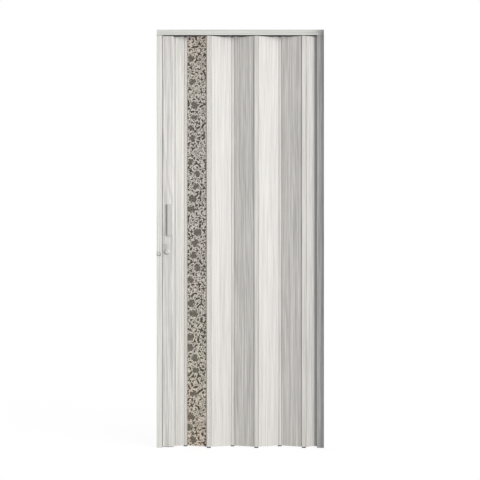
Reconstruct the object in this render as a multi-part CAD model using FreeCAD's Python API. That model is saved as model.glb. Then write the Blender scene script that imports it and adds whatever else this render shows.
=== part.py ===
"""Accordion door, 840 x 2100 mm: a hollow PVC folding curtain hung from a top track
between two channel jambs, closed and latched.

Millimetres. X runs across the doorway and Z is up. The curtain's front faces -Y.
The origin is at floor level on the outer face of the fixed jamb, the face that is
screwed to the wall, in the middle of its depth. The door reaches from there to -X.
"""
import FreeCAD, Part
import math
import os

from FreeCAD import Vector

# Opening and frame
door_width = 840.0
door_height = 2100.0
frame_depth = 34.0
strike_jamb_width = 28.5
fixed_jamb_width = 35.0
jamb_wall = 1.8
jamb_lip = 1.5
jamb_lip_height = 3.0
jamb_edge_radius = 0.9
wall_screw_hole = 4.5
wall_screw_count = 4
wall_screw_end_distance = 150.0

# Top track, a C-section that is wider along its bottom edge
track_height = 28.8
track_wall = 1.6
track_bead_height = 8.0
track_bead_step = 1.5
track_overhang = 1.0
track_slot = 12.0
track_rib_thickness = 1.2
track_rib_height = 2.5
track_screw_count = 4
track_screw_end_distance = 105.0

# Heights of the hanging curtain
floor_gap = 6.0
track_gap = 3.2

# Fold pattern: hinge lines stand in turn behind and in front of the track line
fold_count = 6
fold_depth = 18.0

# Hollow panels
panel_thickness = 7.0
panel_skin = 0.9
panel_web = 0.7
panel_chambers = 7
panel_corner_bevel = 1.2
panel_setback = 11.6
joint_setback = 9.5

# Tongue and groove that hold one profile to the next: a neck that ends in a wider head
tongue_head_width = 4.2
tongue_head_depth = 3.0
neck_thickness = 1.4
groove_clearance = 0.25
groove_lip = 1.2

# Fold hinges, D-shaped tubes with the flat side outside the fold
hinge_width = 20.4
hinge_height = 10.0
hinge_side_height = 3.5
hinge_wall = 1.0
hinge_corner_bevel = 1.2
plug_flange = 5.0
plug_top_flange = 2.0
plug_tenon = 14.0
plug_tenon_bevel = 0.8
plug_clearance = 0.3

# Lead post with the nose that enters the strike jamb
closing_gap = 2.2
post_width = 53.8
post_depth = 28.0
post_wall = 1.4
post_front_radius = 6.0
post_back_radius = 2.0
post_nose_reach = 7.0
post_nose_depth = 16.0
post_web_count = 2
post_groove_mouth = 3.4
joint_inset = 1.7
post_cap_thickness = 2.0
post_cap_tenon = 10.0
post_cap_clearance = 0.3

# Anchor profile that holds the curtain in the fixed jamb
anchor_reveal = 8.0
anchor_nose_depth = 12.0
anchor_body_width = 12.0
anchor_wall = 1.5
anchor_clearance = 0.3

# Roller trolleys
wheel_diameter = 12.0
wheel_width = 4.5
wheel_rib_gap = 0.5
axle_diameter = 3.0
axle_clearance = 0.15
axle_end_reach = 0.8
carriage_length = 18.0
carriage_width = 10.0
carriage_height = 9.0
carriage_chamfer = 3.0
stem_width = 6.0
stem_depth = 4.0
stem_reach = 9.0
shank_length = 28.0
shank_clearance = 0.25
shank_collar = 1.5
shank_collar_reach = 1.0

# Pull handle, one on each side of the lead post
handle_length = 157.0
handle_centre_height = 1144.5
handle_width = 25.0
handle_projection = 8.5
handle_lip_thickness = 2.4
handle_finger_depth = 5.6
handle_edge_radius = 1.6
handle_lip_drop = 0.8
handle_seam_margin = 2.6
handle_seam_width = 0.8
handle_seam_depth = 1.5
handle_post_margin = 6.5

# Hook latch on the lead post and its keeper on the strike jamb
latch_drop = 82.0
latch_post_offset = 20.1
rose_diameter = 28.0
rose_thickness = 4.0
rose_bevel = 3.0
pin_diameter = 6.0
pin_head_diameter = 10.0
pin_head_thickness = 1.6
pivot_clearance = 0.3
hub_diameter = 16.0
lever_length = 39.5
lever_root_width = 8.0
lever_tip_width = 4.4
lever_tip_radius = 1.5
lever_thickness = 2.5
lever_keeper_gap = 5.0
hook_reach = 9.5
hook_width = 4.5
hook_corner_radius = 1.0
keeper_side_margin = 2.0
keeper_width = 25.0
keeper_height = 22.0
keeper_plate = 1.5
keeper_corner = 2.0
keeper_rim = 3.0
keeper_rim_bevel = 2.6
keeper_rim_depth = 9.0
keeper_catch_height = 9.7
keeper_catch_margin = 3.0
keeper_pivot_offset = 17.5
keeper_screw_hole = 3.2

# Cutting bodies overrun a face by this much, and joined bodies reach this far into each other
overrun = 1.0
overlap = 0.5

# Positions that follow from the sizes above
track_bottom = door_height - track_height
curtain_top = track_bottom - track_gap
strike_face_x = -door_width
post_left = strike_face_x + strike_jamb_width + closing_gap
post_right = post_left + post_width
anchor_left = -fixed_jamb_width - anchor_reveal
lead_axis_x = post_right - joint_inset
anchor_axis_x = anchor_left + joint_inset
fold_span = (anchor_axis_x - lead_axis_x) / fold_count
fold_pitch = math.hypot(fold_span, 2.0 * fold_depth)
fold_angle = math.atan2(2.0 * fold_depth, fold_span)
groove_half = tongue_head_width / 2.0 + groove_clearance
groove_centre = groove_lip + groove_half
post_groove_centre = post_wall + groove_half
track_floor = track_bottom + track_wall
wheel_axis_height = track_floor + wheel_diameter / 2.0
post_front = -post_depth / 2.0
jamb_front = -frame_depth / 2.0
latch_x = post_left + latch_post_offset
latch_height = handle_centre_height - handle_length / 2.0 - latch_drop
half_panel_chambers = panel_chambers // 2

parts_folder = "parts"


def point(x, y):
    return Vector(x, y, 0.0)


def polygon(corners):
    """Flat face from corner points in the XY plane."""
    points = [point(x, y) for x, y in corners]
    return Part.Face(Part.makePolygon(points + points[:1]))


def rectangle(x0, y0, x1, y1):
    return polygon([(x0, y0), (x1, y0), (x1, y1), (x0, y1)])


def disc(x, y, radius):
    circle = Part.makeCircle(radius, point(x, y))
    return Part.Face(Part.Wire([circle]))


def rounded_polygon(corners):
    """Flat face from (x, y, radius) corners, each rounded by its own radius."""
    count = len(corners)
    edges = []
    starts = []
    ends = []
    arcs = []
    for index in range(count):
        before = point(*corners[index - 1][:2])
        here = point(*corners[index][:2])
        after = point(*corners[(index + 1) % count][:2])
        radius = corners[index][2]
        to_before = (before - here).normalize()
        to_after = (after - here).normalize()
        half_angle = to_before.getAngle(to_after) / 2.0
        if radius <= 0.0 or abs(half_angle - math.pi / 2.0) < 1e-6:
            starts.append(here)
            ends.append(here)
            arcs.append(None)
            continue
        reach = radius / math.tan(half_angle)
        middle_way = (to_before + to_after).normalize()
        middle = here + middle_way * (radius / math.sin(half_angle) - radius)
        start = here + to_before * reach
        end = here + to_after * reach
        starts.append(start)
        ends.append(end)
        arcs.append(Part.Arc(start, middle, end).toShape())
    for index in range(count):
        if arcs[index] is not None:
            edges.append(arcs[index])
        next_start = starts[(index + 1) % count]
        if ends[index].distanceToPoint(next_start) > 1e-6:
            edges.append(Part.makeLine(ends[index], next_start))
    return Part.Face(Part.Wire(Part.__sortEdges__(edges)))


def bevelled_rectangle(x0, y0, x1, y1, bevel):
    return polygon([
        (x0 + bevel, y0),
        (x1 - bevel, y0),
        (x1, y0 + bevel),
        (x1, y1 - bevel),
        (x1 - bevel, y1),
        (x0 + bevel, y1),
        (x0, y1 - bevel),
        (x0, y0 + bevel)])


def joined(first, others):
    """One flat face from faces that overlap."""
    return first.fuse(others).removeSplitter().Faces[0]


def pierced(face, holes):
    """A flat face less the given faces."""
    return face.cut(Part.makeCompound(holes)).Faces[0]


def raised(face, bottom, top):
    """Upright prism on a plan face, from one height to another."""
    solid = face.extrude(Vector(0.0, 0.0, top - bottom))
    solid.translate(Vector(0.0, 0.0, bottom))
    return solid


def along_x(face, x0, x1):
    """Prism along X on a section drawn with Y as its first axis and Z as its second."""
    section = face.copy()
    section.rotate(Vector(0, 0, 0), Vector(1, 1, 1), 120.0)
    section.translate(Vector(x0, 0.0, 0.0))
    return section.extrude(Vector(x1 - x0, 0.0, 0.0))


def towards_front(face, y_back, y_front):
    """Prism towards -Y on an elevation drawn with X as its first axis and Z as its second."""
    elevation = face.copy()
    elevation.rotate(Vector(0, 0, 0), Vector(1, 0, 0), 90.0)
    elevation.translate(Vector(0.0, y_back, 0.0))
    return elevation.extrude(Vector(0.0, y_front - y_back, 0.0))


def turned(shape, degrees):
    copy = shape.copy()
    copy.rotate(Vector(0, 0, 0), Vector(0, 0, 1), degrees)
    return copy


def moved(shape, x=0.0, y=0.0, z=0.0):
    copy = shape.copy()
    copy.translate(Vector(x, y, z))
    return copy


def evenly_spaced(first, last, count):
    step = (last - first) / (count - 1)
    return [first + step * index for index in range(count)]


def save(name, shape):
    shape.exportStep(os.path.join(parts_folder, name + ".step"))


# Frame


def wall_screw_heights():
    return evenly_spaced(wall_screw_end_distance, track_bottom - wall_screw_end_distance, wall_screw_count)


def jamb(width, stop_distance):
    """Channel jamb with its web on the YZ plane, open towards -X.

    Lips along the free edges stiffen the flanges. Where stop_distance is given, a pair
    of ribs that far from the web stops the anchor profile.
    """
    half = frame_depth / 2.0
    inner = half - jamb_wall
    lip_end = inner - jamb_lip
    outer_face = rounded_polygon([
        (0.0, -half, 0.0),
        (0.0, half, 0.0),
        (-width, half, jamb_edge_radius),
        (-width, -half, jamb_edge_radius)])
    cavity = rectangle(-width + jamb_lip_height, -inner, -jamb_wall, inner)
    mouth = rectangle(-width - overrun, -lip_end, -width + jamb_lip_height + overrun, lip_end)
    section = pierced(outer_face, [joined(cavity, [mouth])])
    if stop_distance:
        ribs = []
        for side in (-1, 1):
            rib_end = -stop_distance + jamb_lip
            ribs.append(rectangle(-stop_distance, side * lip_end, rib_end, side * (inner + overlap)))
        section = joined(section, ribs)
    solid = raised(section, 0.0, track_bottom)
    for height in wall_screw_heights():
        hole = Part.makeCylinder(wall_screw_hole / 2.0, jamb_wall + 2.0 * overrun,
                                 Vector(-jamb_wall - overrun, 0.0, height), Vector(1, 0, 0))
        solid = solid.cut(hole)
    return solid


def strike_jamb():
    solid = turned(jamb(strike_jamb_width, None), 180.0)
    return moved(solid, x=strike_face_x)


def fixed_jamb():
    anchor_back = fixed_jamb_width - jamb_lip_height - anchor_body_width - anchor_clearance
    return jamb(fixed_jamb_width, anchor_back)


def top_track():
    half = frame_depth / 2.0 + track_overhang
    upper = half - track_bead_step
    bead_top = track_bottom + track_bead_height
    outer_face = polygon([
        (-half, track_bottom),
        (half, track_bottom),
        (half, bead_top),
        (upper, bead_top + track_bead_step),
        (upper, door_height),
        (-upper, door_height),
        (-upper, bead_top + track_bead_step),
        (-half, bead_top)])
    inside = polygon([
        (-half + track_wall, track_floor),
        (half - track_wall, track_floor),
        (half - track_wall, bead_top - track_wall / 2.0),
        (upper - track_wall, bead_top + track_bead_step - track_wall / 2.0),
        (upper - track_wall, door_height - track_wall),
        (-upper + track_wall, door_height - track_wall),
        (-upper + track_wall, bead_top + track_bead_step - track_wall / 2.0),
        (-half + track_wall, bead_top - track_wall / 2.0)])
    slot = rectangle(-track_slot / 2.0, track_bottom - overrun, track_slot / 2.0, track_floor + overrun)
    section = pierced(outer_face, [joined(inside, [slot])])
    ribs = []
    for side in (-1, 1):
        slot_edge = side * track_slot / 2.0
        rib_side = slot_edge + side * track_rib_thickness
        ribs.append(rectangle(slot_edge, track_floor - overlap, rib_side, track_floor + track_rib_height))
    section = joined(section, ribs)
    solid = along_x(section, strike_face_x, 0.0)
    for x in track_screw_positions():
        hole = Part.makeCylinder(wall_screw_hole / 2.0, track_wall + 2.0 * overrun,
                                 Vector(x, 0.0, door_height - track_wall - overrun))
        solid = solid.cut(hole)
    return solid


def track_screw_positions():
    first = strike_face_x + track_screw_end_distance
    return evenly_spaced(first, -track_screw_end_distance, track_screw_count)


# Curtain profiles


def groove(edge_x, inward, depth, half_mouth):
    """Square pocket around a centre at the given depth, with a narrower mouth to the edge.

    The edge stands at edge_x, and inward is the way into the profile, +1 or -1.
    """
    centre = edge_x + inward * depth
    pocket = rectangle(centre - groove_half, -groove_half, centre + groove_half, groove_half)
    mouth_start, mouth_end = sorted((edge_x - inward * overrun, centre))
    return joined(pocket, [rectangle(mouth_start, -half_mouth, mouth_end, half_mouth)])


def edge_groove(edge_x, inward):
    """Groove in the edge of a panel, which lets the neck turn a little."""
    return groove(edge_x, inward, groove_centre, neck_thickness / 2.0 + groove_clearance)


def chamber_pitch(length, chambers):
    """Half width of a panel's hollow part, and the distance from one chamber to the next."""
    hollow_end = length / 2.0 - groove_centre - groove_half - panel_web
    return hollow_end, (2.0 * hollow_end + panel_web) / chambers


def panel_section(length, chambers):
    """Hollow panel section along X: two skins, webs, and a groove in each long edge."""
    half = length / 2.0
    half_thickness = panel_thickness / 2.0
    outer_face = bevelled_rectangle(-half, -half_thickness, half, half_thickness, panel_corner_bevel)
    hollow_end, chamber_step = chamber_pitch(length, chambers)
    inner = half_thickness - panel_skin
    holes = [edge_groove(-half, 1.0), edge_groove(half, -1.0)]
    for index in range(chambers):
        left = -hollow_end + index * chamber_step
        holes.append(rectangle(left, -inner, left + chamber_step - panel_web, inner))
    return pierced(outer_face, holes)


def tongue(start, end):
    """Neck of even thickness from start to a head centred on end, both (x, y)."""
    run = Vector(end[0] - start[0], end[1] - start[1], 0.0)
    neck = rectangle(0.0, -neck_thickness / 2.0, run.Length, neck_thickness / 2.0)
    half_width = tongue_head_width / 2.0
    half_depth = tongue_head_depth / 2.0
    head = rectangle(run.Length - half_depth, -half_width, run.Length + half_depth, half_width)
    pieces = []
    for piece in (neck, head):
        piece = turned(piece, math.degrees(math.atan2(run.y, run.x)))
        pieces.append(moved(piece, x=start[0], y=start[1]))
    return pieces


def hinge_x(number):
    return lead_axis_x + fold_span * (number - 0.5)


def hinge_side(number):
    """Odd hinge lines are behind the track line and even ones are in front of it."""
    return 1.0 if number % 2 else -1.0


def d_shape(inset):
    """D outline with its flat side towards -Y, moved inwards by inset."""
    half = hinge_width / 2.0 - inset
    flat = -hinge_height / 2.0 + inset
    shoulder = -hinge_height / 2.0 + hinge_side_height
    crown = hinge_height / 2.0 - inset
    bevel = hinge_corner_bevel - inset * (2.0 - math.sqrt(2.0))
    box = polygon([
        (-half + bevel, flat),
        (half - bevel, flat),
        (half, flat + bevel),
        (half, shoulder),
        (-half, shoulder),
        (-half, flat + bevel)])
    bow = [
        Part.Arc(point(half, shoulder), point(0.0, crown), point(-half, shoulder)).toShape(),
        Part.makeLine(point(-half, shoulder), point(half, shoulder))]
    return joined(box, [Part.Face(Part.Wire(bow))])


def hinge_section():
    """D tube with a tongue on each side, drawn for a front hinge line at the origin."""
    head_reach = panel_setback + groove_centre
    neck_start = hinge_height / 2.0 + hinge_wall
    pieces = []
    for side in (-1.0, 1.0):
        way = (side * math.cos(fold_angle), math.sin(fold_angle))
        start = (way[0] * neck_start, way[1] * neck_start)
        end = (way[0] * head_reach, way[1] * head_reach)
        pieces += tongue(start, end)
    body = joined(d_shape(0.0), pieces)
    return pierced(body, [d_shape(hinge_wall)])


def at_hinge(shape, number):
    """Place a shape that is drawn for a front hinge line at the origin."""
    side = hinge_side(number)
    if side > 0.0:
        shape = turned(shape, 180.0)
    return moved(shape, x=hinge_x(number), y=side * fold_depth)


def fold_hinge(number):
    return at_hinge(raised(hinge_section(), floor_gap, curtain_top), number)


def plug_tenon_outline():
    """Rectangle that fits between the flat wall of a hinge tube and its bow."""
    inset = hinge_wall + plug_clearance
    half = hinge_width / 2.0 - inset
    flat = -hinge_height / 2.0 + inset
    shoulder = -hinge_height / 2.0 + hinge_side_height
    return bevelled_rectangle(-half, flat, half, shoulder, plug_tenon_bevel)


def bottom_plug(number):
    flange = raised(d_shape(0.0), floor_gap - plug_flange, floor_gap)
    tenon = raised(plug_tenon_outline(), floor_gap - plug_flange / 2.0, floor_gap + plug_tenon)
    return at_hinge(flange.fuse(tenon), number)


def top_plug(number):
    flange = raised(d_shape(0.0), curtain_top, curtain_top + plug_top_flange)
    tenon = raised(plug_tenon_outline(), curtain_top - plug_tenon, curtain_top + plug_top_flange / 2.0)
    return at_hinge(flange.fuse(tenon), number)


def panel_angle(number):
    """Angle of the panel that follows hinge line number, in degrees about Z."""
    return -hinge_side(number) * math.degrees(fold_angle)


def panel_centre_x(number):
    return hinge_x(number) + fold_span / 2.0


def full_panel(number):
    section = panel_section(fold_pitch - 2.0 * panel_setback, panel_chambers)
    solid = raised(section, floor_gap, curtain_top)
    return moved(turned(solid, panel_angle(number)), x=panel_centre_x(number))


def half_panel(axis_x, way):
    """Narrow end panel from the joint at axis_x to the nearest hinge; way is +1 to the right."""
    length = fold_pitch / 2.0 - panel_setback - joint_setback
    reach = way * (joint_setback + length / 2.0)
    hinge_number = 1 if way > 0 else fold_count
    slope = way * hinge_side(hinge_number) * fold_angle
    solid = raised(panel_section(length, half_panel_chambers), floor_gap, curtain_top)
    solid = turned(solid, math.degrees(slope))
    return moved(solid, x=axis_x + reach * math.cos(slope), y=reach * math.sin(slope))


def end_joint(axis_x, way, groove_x):
    """Flexible strip from the groove at groove_x, bent at the joint axis, to the half panel."""
    hinge_number = 1 if way > 0 else fold_count
    slope = way * hinge_side(hinge_number) * fold_angle
    reach = way * (joint_setback + groove_centre)
    head = (axis_x + reach * math.cos(slope), reach * math.sin(slope))
    pieces = tongue((axis_x, 0.0), (groove_x, 0.0))
    pieces += tongue((axis_x, 0.0), head)
    pieces.append(disc(axis_x, 0.0, neck_thickness / 2.0))
    section = joined(pieces[0], pieces[1:])
    return raised(section, floor_gap, curtain_top)


# Lead post and anchor


def post_chambers(wall_gap):
    """The post's chambers as plan faces, left to right, moved inwards by wall_gap."""
    inner_depth = post_depth / 2.0 - post_wall
    left = post_left + post_wall
    right = post_right - post_groove_centre - groove_half - post_wall
    step = (right - left + post_wall) / (post_web_count + 1)
    faces = []
    for index in range(post_web_count + 1):
        x0 = left + index * step + wall_gap
        x1 = left + (index + 1) * step - post_wall - wall_gap
        faces.append(rectangle(x0, -inner_depth + wall_gap, x1, inner_depth - wall_gap))
    return faces


def post_outline():
    half = post_depth / 2.0
    return rounded_polygon([
        (post_left, -half, post_back_radius),
        (post_right, -half, post_front_radius),
        (post_right, half, post_front_radius),
        (post_left, half, post_back_radius)])


def lead_post():
    nose_half = post_nose_depth / 2.0
    nose = rounded_polygon([
        (post_left - post_nose_reach, -nose_half, post_back_radius),
        (post_left + post_wall, -nose_half, 0.0),
        (post_left + post_wall, nose_half, 0.0),
        (post_left - post_nose_reach, nose_half, post_back_radius)])
    nose_hollow = rectangle(post_left - post_nose_reach + post_wall, -nose_half + post_wall,
                            post_left, nose_half - post_wall)
    joint_groove = groove(post_right, -1.0, post_groove_centre, post_groove_mouth / 2.0)
    edge_pocket = post_right - 2.0 * post_groove_centre
    pocket_depth = post_depth / 2.0 - post_wall
    pocket_inner = groove_half + post_wall
    pockets = []
    for side in (-1, 1):
        y0, y1 = sorted((side * pocket_inner, side * pocket_depth))
        pockets.append(rectangle(edge_pocket, y0, post_right - post_front_radius, y1))
    body = joined(post_outline(), [nose])
    section = pierced(body, post_chambers(0.0) + [nose_hollow, joint_groove] + pockets)
    return raised(section, floor_gap, curtain_top)


def post_cap(bottom):
    """Cap with a tenon in each chamber of the lead post."""
    plate = raised(post_outline(), 0.0, post_cap_thickness)
    tenons = []
    for chamber in post_chambers(post_cap_clearance):
        tenons.append(raised(chamber, -post_cap_tenon, post_cap_thickness / 2.0))
    solid = plate.fuse(tenons).removeSplitter()
    if bottom:
        solid = solid.mirror(Vector(0, 0, 0), Vector(0, 0, 1))
        return moved(solid, z=floor_gap)
    stem_hole = raised(stem_outline(shank_clearance), -post_cap_tenon - overrun, post_cap_thickness + overrun)
    return moved(solid.cut(moved(stem_hole, x=post_trolley_x())), z=curtain_top)


def post_trolley_x():
    centre_chamber = post_chambers(0.0)[post_web_count // 2]
    return centre_chamber.BoundBox.Center.x


def anchor_profile():
    inner = frame_depth / 2.0 - jamb_wall - anchor_clearance
    body_right = -fixed_jamb_width + jamb_lip_height + anchor_clearance + anchor_body_width
    body_left = body_right - anchor_body_width
    nose_half = anchor_nose_depth / 2.0
    body = bevelled_rectangle(body_left, -inner, body_right, inner, anchor_wall / 2.0)
    nose = rounded_polygon([
        (anchor_left, -nose_half, anchor_wall),
        (body_left + anchor_wall, -nose_half, 0.0),
        (body_left + anchor_wall, nose_half, 0.0),
        (anchor_left, nose_half, anchor_wall)])
    holes = [groove(anchor_left, 1.0, post_groove_centre, post_groove_mouth / 2.0)]
    for side in (-1, 1):
        y0, y1 = sorted((side * anchor_wall / 2.0, side * (inner - anchor_wall)))
        holes.append(rectangle(body_left + anchor_wall, y0, body_right - anchor_wall, y1))
    section = pierced(joined(body, [nose]), holes)
    return raised(section, floor_gap, curtain_top)


# Roller trolleys


def trolley_places():
    """X and panel angle of each trolley: the lead post, then the panels that rise to the right."""
    places = [(post_trolley_x(), None)]
    for number in range(1, fold_count, 2):
        places.append((panel_centre_x(number), panel_angle(number)))
    return places


def stem_outline(gap):
    """Plan of the flat trolley stem, or of the hole that takes it with a gap all round."""
    half_width = stem_width / 2.0 + gap
    half_depth = stem_depth / 2.0 + gap
    return rectangle(-half_width, -half_depth, half_width, half_depth)


def trolley(x, angle):
    """Carriage on its stem, with the shank that is pressed into the panel's middle chamber."""
    half_length = carriage_length / 2.0
    half_width = carriage_width / 2.0
    bottom = wheel_axis_height - carriage_height / 2.0
    top = bottom + carriage_height
    profile = polygon([
        (-half_length, bottom + carriage_chamfer),
        (-half_length + carriage_chamfer, bottom),
        (half_length - carriage_chamfer, bottom),
        (half_length, bottom + carriage_chamfer),
        (half_length, top - carriage_chamfer),
        (half_length - carriage_chamfer, top),
        (-half_length + carriage_chamfer, top),
        (-half_length, top - carriage_chamfer)])
    carriage = towards_front(profile, half_width, -half_width)
    axle_hole = Part.makeCylinder(axle_diameter / 2.0 + axle_clearance, carriage_width + 2.0 * overrun,
                                  Vector(0.0, -half_width - overrun, wheel_axis_height), Vector(0, 1, 0))
    lower = raised(stem_outline(0.0), curtain_top - stem_reach, bottom + overlap)
    if angle is not None:
        lower = turned(lower.fuse(trolley_shank()), angle)
    solid = carriage.cut(axle_hole).fuse(lower)
    return moved(solid.removeSplitter(), x=x)


def trolley_shank():
    chamber_step = chamber_pitch(fold_pitch - 2.0 * panel_setback, panel_chambers)[1]
    half_width = (chamber_step - panel_web) / 2.0 - shank_clearance
    half_depth = panel_thickness / 2.0 - panel_skin - shank_clearance
    shank = raised(rectangle(-half_width, -half_depth, half_width, half_depth),
                   curtain_top - shank_length, curtain_top)
    half_thickness = panel_thickness / 2.0
    half_collar = half_width + shank_collar_reach
    collar = raised(rectangle(-half_collar, -half_thickness, half_collar, half_thickness),
                    curtain_top, curtain_top + shank_collar)
    return shank.fuse(collar)


def wheel(x, side):
    """Wheel beside the carriage, running on the track's floor."""
    inner = track_slot / 2.0 + track_rib_thickness + wheel_rib_gap
    outer = inner + wheel_width
    radius = wheel_diameter / 2.0
    bore = axle_diameter / 2.0 + axle_clearance
    section = rectangle(bore, inner, radius, outer)
    solid = section.revolve(Vector(0, 0, 0), Vector(0, 1, 0), 360.0)
    if side < 0:
        solid = solid.mirror(Vector(0, 0, 0), Vector(0, 1, 0))
    return moved(solid, x=x, z=wheel_axis_height)


def axle(x):
    half = track_slot / 2.0 + track_rib_thickness + wheel_rib_gap + wheel_width + axle_end_reach
    return Part.makeCylinder(axle_diameter / 2.0, 2.0 * half,
                             Vector(x, -half, wheel_axis_height), Vector(0, 1, 0))


# Handle and latch


def pull_handle(side):
    """Finger pull on a post face: a foot on the right and a lip that overhangs to the left.

    A narrow seam runs down its face near the right edge.
    """
    right = post_right - handle_post_margin
    left = right - handle_width
    foot_left = left + handle_finger_depth
    lip_back = handle_projection - handle_lip_thickness
    seam_right = right - handle_seam_margin
    seam_left = seam_right - handle_seam_width
    seam_bottom = handle_projection - handle_seam_depth
    section = rounded_polygon([
        (foot_left, 0.0, 0.0),
        (right, 0.0, 0.0),
        (right, handle_projection, handle_edge_radius),
        (seam_right, handle_projection, 0.0),
        (seam_right, seam_bottom, 0.0),
        (seam_left, seam_bottom, 0.0),
        (seam_left, handle_projection, 0.0),
        (left, handle_projection, handle_edge_radius),
        (left, lip_back - handle_lip_drop, 0.0),
        (foot_left, lip_back, 0.0)])
    half = handle_length / 2.0
    solid = raised(section, handle_centre_height - half, handle_centre_height + half)
    wedge = polygon([
        (half - handle_edge_radius, handle_projection),
        (half, handle_projection - handle_edge_radius),
        (half, handle_projection)])
    for end in (-1, 1):
        bevel = along_x(wedge, left, right)
        bevel.rotate(Vector(0, 0, 0), Vector(1, 0, 0), 90.0)
        if end < 0:
            bevel = bevel.mirror(Vector(0, 0, 0), Vector(0, 0, 1))
        solid = solid.cut(moved(bevel, z=handle_centre_height))
    if side < 0:
        solid = solid.mirror(Vector(0, 0, 0), Vector(0, 1, 0))
    return moved(solid, y=side * post_depth / 2.0)


def latch_rose():
    """Round bevelled base on the post with the pivot pin and its head, turned in one piece."""
    rose_radius = rose_diameter / 2.0
    rose_front = post_front - rose_thickness
    pin_radius = pin_diameter / 2.0
    head_radius = pin_head_diameter / 2.0
    head_front = head_back() - pin_head_thickness
    section = polygon([
        (0.0, post_front),
        (rose_radius, post_front),
        (rose_radius, rose_front + rose_bevel),
        (rose_radius - rose_bevel, rose_front),
        (pin_radius, rose_front),
        (pin_radius, head_back()),
        (head_radius, head_back()),
        (head_radius, head_front),
        (0.0, head_front)])
    solid = section.revolve(Vector(0, 0, 0), Vector(0, 1, 0), 360.0)
    return moved(solid, x=latch_x, z=latch_height)


def lever_back():
    """The lever passes in front of the keeper's plate."""
    return jamb_front - keeper_plate - lever_keeper_gap


def lever_front():
    return lever_back() - lever_thickness


def head_back():
    return lever_front() - pivot_clearance


def latch_lever():
    """Hook lever in its open position, upright, with the hook towards the keeper."""
    root = lever_root_width / 2.0
    tip = lever_tip_width / 2.0
    arm = rounded_polygon([
        (-root, 0.0, 0.0),
        (root, 0.0, 0.0),
        (tip, lever_length, lever_tip_radius),
        (-hook_reach, lever_length, hook_corner_radius),
        (-hook_reach, lever_length - hook_width, hook_corner_radius),
        (-tip, lever_length - hook_width, hook_corner_radius)])
    arm = joined(arm, [disc(0.0, 0.0, hub_diameter / 2.0)])
    arm.translate(point(latch_x, latch_height))
    solid = towards_front(arm, lever_back(), lever_front())
    hub_back = post_front - rose_thickness - pivot_clearance
    hub = Part.makeCylinder(hub_diameter / 2.0, hub_back - lever_back() + overlap,
                            Vector(latch_x, hub_back, latch_height), Vector(0, -1, 0))
    bore = Part.makeCylinder(pin_diameter / 2.0 + pivot_clearance, frame_depth,
                             Vector(latch_x, 0.0, latch_height), Vector(0, -1, 0))
    return solid.fuse(hub).cut(bore).removeSplitter()


def corner_wedge(x, y):
    """Triangle that takes the bevel off a rim's lower left corner at (x, y)."""
    reach = keeper_rim_bevel + overrun
    return polygon([
        (x - overrun, y - overrun),
        (x + reach, y - overrun),
        (x - overrun, y + reach)])


def latch_keeper():
    """Tray with bevelled rims on its left and bottom and a low catch that the hook drops behind."""
    left = strike_face_x + keeper_side_margin
    right = left + keeper_width
    bottom = latch_height - keeper_pivot_offset
    top = bottom + keeper_height
    plate_front = jamb_front - keeper_plate
    rim_front = jamb_front - keeper_rim_depth
    plate = bevelled_rectangle(left, bottom, right, top, keeper_corner)
    catch_right = right - keeper_catch_margin
    rim = polygon([
        (left, bottom + keeper_corner),
        (left + keeper_corner, bottom),
        (catch_right, bottom),
        (catch_right, bottom + keeper_catch_height),
        (catch_right - keeper_rim, bottom + keeper_catch_height),
        (catch_right - keeper_rim, bottom + keeper_rim),
        (left + keeper_rim, bottom + keeper_rim),
        (left + keeper_rim, top - keeper_corner),
        (left, top - keeper_corner)])
    side_wedge = raised(corner_wedge(left, rim_front), bottom - overrun, top + overrun)
    bottom_wedge = along_x(corner_wedge(rim_front, bottom), left - overrun, right + overrun)
    rim = towards_front(rim, plate_front + overlap, rim_front).cut([side_wedge, bottom_wedge])
    solid = towards_front(plate, jamb_front, plate_front).fuse(rim).removeSplitter()
    screw_place = Vector((left + right) / 2.0, jamb_front + overrun, top - keeper_height / 3.0)
    screw_hole = Part.makeCylinder(keeper_screw_hole / 2.0, keeper_plate + 2.0 * overrun,
                                   screw_place, Vector(0, -1, 0))
    return solid.cut(screw_hole)


def build():
    os.makedirs(parts_folder, exist_ok=True)
    hinge_numbers = range(1, fold_count + 1)

    save("strike_jamb", strike_jamb())
    save("fixed_jamb", fixed_jamb())
    save("top_track", top_track())

    save("lead_post", lead_post())
    save("post_cap_top", post_cap(False))
    save("post_cap_bottom", post_cap(True))
    save("lead_joint", end_joint(lead_axis_x, 1.0, post_right - post_groove_centre))
    save("lead_half_panel", half_panel(lead_axis_x, 1.0))
    for number in hinge_numbers:
        save("fold_hinge_%d" % number, fold_hinge(number))
    save("decor_panel", full_panel(1))
    for number in range(2, fold_count):
        save("panel_%d" % number, full_panel(number))
    save("fixed_half_panel", half_panel(anchor_axis_x, -1.0))
    save("fixed_joint", end_joint(anchor_axis_x, -1.0, anchor_left + post_groove_centre))
    save("anchor_profile", anchor_profile())
    save("hinge_plugs_bottom", Part.makeCompound([bottom_plug(number) for number in hinge_numbers]))
    save("hinge_plugs_top", Part.makeCompound([top_plug(number) for number in hinge_numbers]))

    places = trolley_places()
    for index, (x, angle) in enumerate(places):
        save("trolley_%d" % (index + 1), trolley(x, angle))
    save("trolley_wheels", Part.makeCompound([wheel(x, side) for x, angle in places for side in (-1, 1)]))
    save("trolley_axles", Part.makeCompound([axle(x) for x, angle in places]))

    save("handle_front", pull_handle(-1))
    save("handle_back", pull_handle(1))
    save("latch_rose", latch_rose())
    save("latch_lever", latch_lever())
    save("latch_keeper", latch_keeper())


build()
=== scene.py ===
"""Looks of the accordion door: white ash plastic, one panel printed with scrolls and leaves."""

import math
import random

import bpy
from mathutils import Matrix, Vector


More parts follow.
